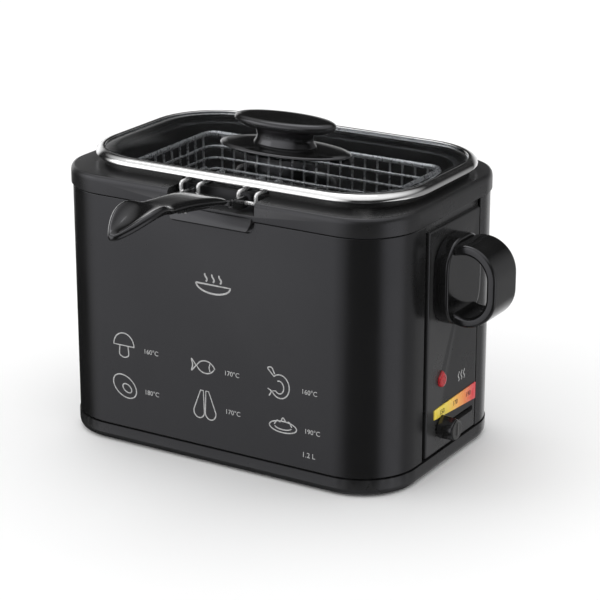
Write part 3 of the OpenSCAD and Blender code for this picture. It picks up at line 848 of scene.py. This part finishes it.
def draw(name, shapes, place, face="front", width=0.9):
    """Lines of white ink on the front or the panel, flat but for a trace of thickness."""
    axis, level = {"front": (1, FRONT), "panel": (0, HALF_W)}[face]
    flatness = 0.15
    coarse = 12                          # a line of fewer points than this has its corners eased
    paths = []
    for shape in shapes:
        points = [(a + place[0], b + place[1]) for a, b in shape]
        path = [(a, level, b) if face == "front" else (level, a, b) for a, b in points]
        paths.append(rounded(path, 1.6) if len(path) < coarse else path)
    piece = solid(wire(name, paths, width / 2, sides=1))
    for vertex in piece.data.vertices:
        vertex.co[axis] = level * MM + (vertex.co[axis] - level * MM) * flatness
    dress(piece, "white_print")


def label(name, text, place, turn, size, material="white_print"):
    """Printed figures, turned about Z to face outwards."""
    font = bpy.data.curves.new(name, "FONT")
    font.body = text
    font.size = size * MM
    font.extrude = INK * MM
    font.align_x = "CENTER"
    font.align_y = "CENTER"
    words = bpy.data.objects.new(name, font)
    words.location = Vector(place) * MM
    words.rotation_euler = (math.radians(90), 0, math.radians(turn))
    bpy.context.collection.objects.link(words)
    dress(solid(words), material)


def mushroom():
    cap = arc(0, 0, 7.5, 8, 0, 180, 14)
    return [cap + cap[:1], [(-3, 0), (-3.6, -6.4), (0, -8), (3.6, -6.4), (3, 0)]]


def fish():
    back = arc(1.5, -3.4, 7.2, 7.4, 25, 155, 10)
    belly = arc(1.5, 3.4, 7.2, 7.4, 205, 335, 10)
    tail = [(-5, -0.3), (-9, 4.4), (-7.6, 0), (-9, -4.4), (-5, 0.3)]
    return [back + belly + back[:1], tail, [(4.6, -2.4), (3.8, 0), (4.6, 2.4)]]


def shrimp():
    outer = arc(0, -1, 6.4, 7.4, 130, -150, 18)
    inner = arc(-0.6, -1.6, 3.2, 4, 110, -140, 14)
    fan = [outer[0], (-9, 9.5), (-5.6, 10.5), (-3.6, 6.2)]
    return [outer + inner[::-1], fan, [(-8.5, -3.5), outer[-1], (-7.5, -8)]]


def steak():
    rind = arc(0, 0, 9.2, 6.6, 0, 360, 30)
    bone = arc(2, 0, 3.6, 2.4, 0, 360, 18)
    tilt = math.radians(-32)
    across, up = math.cos(tilt), math.sin(tilt)
    return [[(a * across - b * up, a * up + b * across) for a, b in shape] for shape in (rind, bone)]


def drumsticks():
    sticks = []
    for side in (-1, 1):
        leg = arc(3.6, -4.6, 3.8, 4.2, 170, 375, 14) + [(2.4, 9.2), (0.4, 9.2)]
        sticks.append([(side * (a + 0.5), b) for a, b in leg + leg[:1]])
    return sticks


def dish():
    plate = arc(0, -1.5, 9.4, 3.6, 0, 360, 22)
    heap = [(-6, -0.6), (-4, 2.6), (-1.8, 1), (0, 5), (2.2, 1.4), (4.4, 2.8), (6, -0.6)]
    return [plate, heap, arc(0, -1.5, 5.6, 1.7, 180, 360, 10)]


def emblem():
    """A plain bowl with steam over it."""
    steam = [[(x + 0.9 * math.sin(z * 1.1), z + 1.6) for z in range(6)] for x in (-5, 0, 5)]
    bowl = arc(0, 0, 12, 5.4, 180, 360, 16)
    return [bowl + bowl[:1], *steam]


def front_prints():
    """Food pictures with a frying heat beside each, an emblem above and the capacity below."""
    pictures = [
        (mushroom, -65, 65, "160"), (fish, -7, 62.5, "170"), (shrimp, 46.5, 61.5, "160"),
        (steak, -65, 38.5, "180"), (drumsticks, -6.5, 38, "170"), (dish, 48.5, 37, "190"),
    ]
    for picture, x, z, heat in pictures:
        draw("print_" + picture.__name__, picture(), (x, z))
        label("heat_" + picture.__name__, heat + "\u00b0C", (x + 20, FRONT - INK, z - 1), 0, 4.2)
    draw("print_emblem", emblem(), (0.6, 115), width=1.3)
    label("capacity", "1.2 L", (66, FRONT - INK, 21), 0, 4.6)


def panel_prints():
    """Heat waves by the lamp, and figures on the scale."""
    waves = [[(y + 0.8 * math.sin(z * 1.3), z - 3) for z in range(7)] for y in (-3.5, 0, 3.5)]
    draw("print_heat", waves, (16.5, 51.5), "panel", 1.0)
    low, high = box("temperature_scale")
    middle = (low.z + high.z) / 2
    for i, figure in enumerate(("150", "170", "190")):
        y = low.y + (high.y - low.y) * (0.18 + 0.32 * i)
        label("scale_" + figure, figure, (high.x + INK, y, middle + 0.6), 90, 4.2, "dark_print")


# ---------- basket ----------

def basket_pieces():
    """Wire basket: U-shaped wires both ways, loops round the walls and a thick rim."""
    pitch = 9.2                          # between upright wires
    rise = 0.82 * pitch                  # between hoops
    margin = 10                          # from a wall's middle line to the first wire beside it
    corner = 8
    r = 0.8
    rim_r = 1.6
    w = RIM_HIGH.x - RIM_LOW.x - 2 * rim_r
    d = RIM_HIGH.y - RIM_LOW.y - 2 * rim_r
    top = (RIM_LOW.z + RIM_HIGH.z) / 2
    floor = box("basket_floor_mesh")[0].z + r
    taper = 3.0                          # how much nearer each wall stands at the floor
    cy = (RIM_LOW.y + RIM_HIGH.y) / 2
    paths = []
    across = round((w - 2 * corner) / pitch)
    for i in range(across + 1):
        x = -(w - 2 * margin) / 2 + (w - 2 * margin) * i / across
        y0, y1 = d / 2 - r, d / 2 - taper
        ends = [(x, cy - y0, top), (x, cy - y1, floor), (x, cy + y1, floor), (x, cy + y0, top)]
        paths.append(rounded(ends, 7))
    along = round((d - 2 * corner) / pitch)
    for i in range(along + 1):
        y = cy - (d - 2 * margin) / 2 + (d - 2 * margin) * i / along
        x0, x1 = w / 2 - r, w / 2 - taper
        low = floor + 2 * r * 0.9        # on the other wires, and a little sunk into them
        ends = [(-x0, y, top), (-x1, y, low), (x1, y, low), (x0, y, top)]
        paths.append(rounded(ends, 7))
    uprights = wire("basket_uprights", paths, r, sides=1)
    dress(uprights, "basket_wire", "basket", ["basket_front_mesh", "basket_back_mesh", "basket_floor_mesh"])
    loops = []
    levels = round((top - floor) / rise)
    for i in range(1, levels):
        z = floor + 2 + (top - floor - 2) * i / levels
        inset = 2 * r + 0.8 + (taper - r) * (1 - i / levels)
        loops.append(at(outline(w - 2 * inset, d - 2 * inset, corner, cy, 6), z))
    hoops = wire("basket_hoops", loops, r, closed=True, sides=1)
    dress(hoops, "basket_wire", "basket", ["basket_left_mesh", "basket_right_mesh"])
    rim_path = at(outline(w, d, corner, cy), top)
    rim = wire("basket_rim_wire", [rim_path], rim_r, closed=True, sides=3)
    dress(rim, "basket_wire", "basket", ["basket_rim"])


def bracket_piece():
    """Two bent loops that hook over the bowl and carry the handle's hinge."""
    low, high = box("bracket_wires")
    wall = RIM_LOW.y
    top = high.z - HINGE_WIRE_R
    foot = low.z + 0.6
    paths = []
    for side in (-1, 1):
        inner, outer = side * INNER_LEG, side * OUTER_LEG
        ends = [
            (inner, wall, foot), (inner, wall, top), (inner, HINGE_Y, top), (inner, HINGE_Y, HINGE_Z),
            (outer, HINGE_Y, HINGE_Z), (outer, HINGE_Y, top), (outer, wall, top), (outer, wall, foot),
        ]
        paths.append(rounded(ends, 2.2))
    dress(wire("hinge_wires", paths, HINGE_WIRE_R, sides=3), "basket_wire", "basket", ["bracket_wires"])


# Handle sections: forward of the hinge, above it, width, thickness, depth of the dish
HANDLE = [
    (10, 2.7, 38, 6.0, 0.3), (22.5, 5.4, 33, 6.2, 0.6), (38.5, 7.6, 26, 6.4, 0.8), (55.5, 9.4, 24, 6.0, 0.8),
    (63, 9.8, 25, 6.0, 0.9), (67, 11.2, 27, 6.8, 2.2), (72, 13.1, 29.4, 7.6, 4.8), (80, 12.9, 29, 8.0, 5.8),
    (87, 11.2, 26, 7.8, 5.6), (94, 8.3, 20, 7.2, 4.4), (100, 5.8, 13, 6.0, 2.0), (104, 4.2, 7.5, 4.6, 0.5),
    (106.2, 3.4, 3, 3.0, 0.1),
]


def handle_ring(forward, rise, width, thick, hollow, steps=32):
    """One closed section of the handle: its top is dished and narrower than its underside."""
    ring = []
    for i in range(steps):
        turn = 2 * math.pi * i / steps
        c, s = math.cos(turn), math.sin(turn)
        u = width / 2 * math.copysign(abs(c) ** 0.6, c) * (1 - 0.16 * max(0.0, s))
        v = thick / 2 * math.copysign(abs(s) ** 0.7, s)
        if s > 0:
            v -= hollow * max(0.0, 1 - abs(u / (0.39 * width)) ** 3)
        ring.append((u, HINGE_Y - forward, HINGE_Z + rise + v))
    return ring


def handle_piece():
    """Curved plastic grip with a dished end, joined by a yoke to lugs round the hinge wires."""
    grip = loft("basket_grip", [handle_ring(*section) for section in HANDLE], caps=True)
    subdivide(grip, 1)
    bake(grip)
    lugs = []
    for side in (-1, 1):
        x0, x1 = sorted((side * (INNER_LEG + 1.6), side * (INNER_LEG + 4.8)))
        shape = arc(HINGE_Y, HINGE_Z, 4, 4, -60, 90, 10)
        shape += [(HINGE_Y - 14, HINGE_Z + 4), (HINGE_Y - 14, HINGE_Z - 0.4), (HINGE_Y - 6, HINGE_Z - 3.2)]
        lugs.append(soften(prism("lug", shape, x0, x1, "x"), 0.5, 2))
    bar = [(HINGE_Y - 17, HINGE_Z + 1.6), (HINGE_Y - 11.6, HINGE_Z + 0.9),
           (HINGE_Y - 11.6, HINGE_Z + 3.9), (HINGE_Y - 17, HINGE_Z + 5.0)]
    yoke = soften(prism("yoke", bar, -INNER_LEG - 4.6, INNER_LEG + 4.6, "x"), 0.5, 2)
    fuse(grip, yoke, *lugs)
    bore = arc(HINGE_Y, HINGE_Z, HINGE_BORE_R, HINGE_BORE_R, 0, 345, 23)
    carve(grip, prism("pin", bore, -OUTER_LEG, OUTER_LEG, "x"))
    dress(soften(grip, 0.25, 2, 50), "gloss_black", "basket_grip", ["basket_handle"])


# ---------- lid ----------

def lid_ring_piece():
    """Rolled steel channel round the glass."""
    bottom, top = RING_LOW.z, RING_HIGH.z
    under, over = GLASS_LOW.z - 0.1, GLASS_HIGH.z + 0.1
    profile = [(-6.8, bottom), (-1.3, bottom), (-0.4, bottom + 0.3)]
    profile += arc(-5.0, bottom + 0.9, 5.0, top - bottom - 0.9, 0, 84, 9)
    profile += [(-5.6, top - 0.1), (-5.9, top - 0.4), (-5.8, over), (-3.4, over), (-3.4, under),
                (-6.8, under), (-7, under - 0.4)]
    w, d = RING_HIGH.x - RING_LOW.x, RING_HIGH.y - RING_LOW.y
    ring = sweep("lid_band", w, d, LID_CORNER_R, LID_Y, profile)
    dress(soften(ring, 0.15, 2, 50), "polished_steel", "lid", ["lid_ring"])


def glass_piece():
    """A plate of glass with a slight crown and a hole for the knob's screw."""
    w, d = GLASS_HIGH.x - GLASS_LOW.x, GLASS_HIGH.y - GLASS_LOW.y
    thick = GLASS_HIGH.z - GLASS_LOW.z
    crown = 0.8
    corner_r = 43
    hole_r = 3
    shares = [0, 0.02, 0.08, 0.2, 0.4, 0.6, 0.8, 0.93]

    def ring(share, z):
        """Rings shrink evenly from the edge to the hole, and turn from oblong to round."""
        keep = 1 - share
        size = [2 * hole_r + (side - 2 * hole_r) * keep for side in (w, d)]
        return at(outline(*size, hole_r + (corner_r - hole_r) * keep, LID_Y, 8), z)

    rise = [crown * (1 - (1 - s) ** 2) for s in shares]
    over = [ring(s, GLASS_HIGH.z - (0.5 if s == 0 else 0) + up) for s, up in zip(shares, rise)]
    under = [ring(s, GLASS_HIGH.z - thick + up) for s, up in zip(shares, rise)]
    glass = loft("lid_pane", over + under[::-1], loop=True)
    dress(glass, "tempered_glass", "lid", ["lid_glass"])


def oval(w, d, z, steps=48):
    return at(arc(0, LID_Y, w / 2, d / 2, 0, 360 - 360 / steps, steps - 1), z)


def oval_piece(name, node, sections):
    """An upright oval moulding from sections of (width, depth, share of its height)."""
    low, high = box(node)
    rings = [oval(w, d, low.z + (high.z - low.z) * share) for w, d, share in sections]
    dress(loft(name, rings, caps=True), "gloss_black", "lid", [node])


def knob_pieces():
    """Oval knob in three mouldings: a low base, a waisted stem and a dished cap."""
    oval_piece("knob_foot", "knob_base", [
        (86, 40, 0), (89.4, 42.4, 0.1), (90, 43, 0.3), (88, 41.4, 0.57), (80, 36, 0.8), (60, 29, 0.93),
        (46, 24, 1),
    ])
    oval_piece("knob_waist", "knob_stem", [
        (43, 23, 0), (42.6, 22.6, 0.08), (39.5, 20.2, 0.3), (38.6, 19.4, 0.5), (40, 20.4, 0.76),
        (42.8, 22.8, 0.96), (43, 23, 1),
    ])
    oval_piece("knob_top", "knob_cap", [
        (56, 24, 0), (62, 27, 0.08), (68, 30, 0.3), (70, 31.6, 0.55), (69.4, 31, 0.74), (66, 28.4, 0.9),
        (60, 25, 0.98), (50, 20, 1), (24, 9, 1), (8, 4, 1),
    ])


# ---------- build ----------

make_camera()
make_studio()
dress_cad()
shell_pieces()
panel_piece()
collar_piece()
bowl_piece()
carry_handle_pieces()
slider_pieces()
lens_piece()
front_prints()
panel_prints()
basket_pieces()
bracket_piece()
handle_piece()
lid_ring_piece()
glass_piece()
knob_pieces()
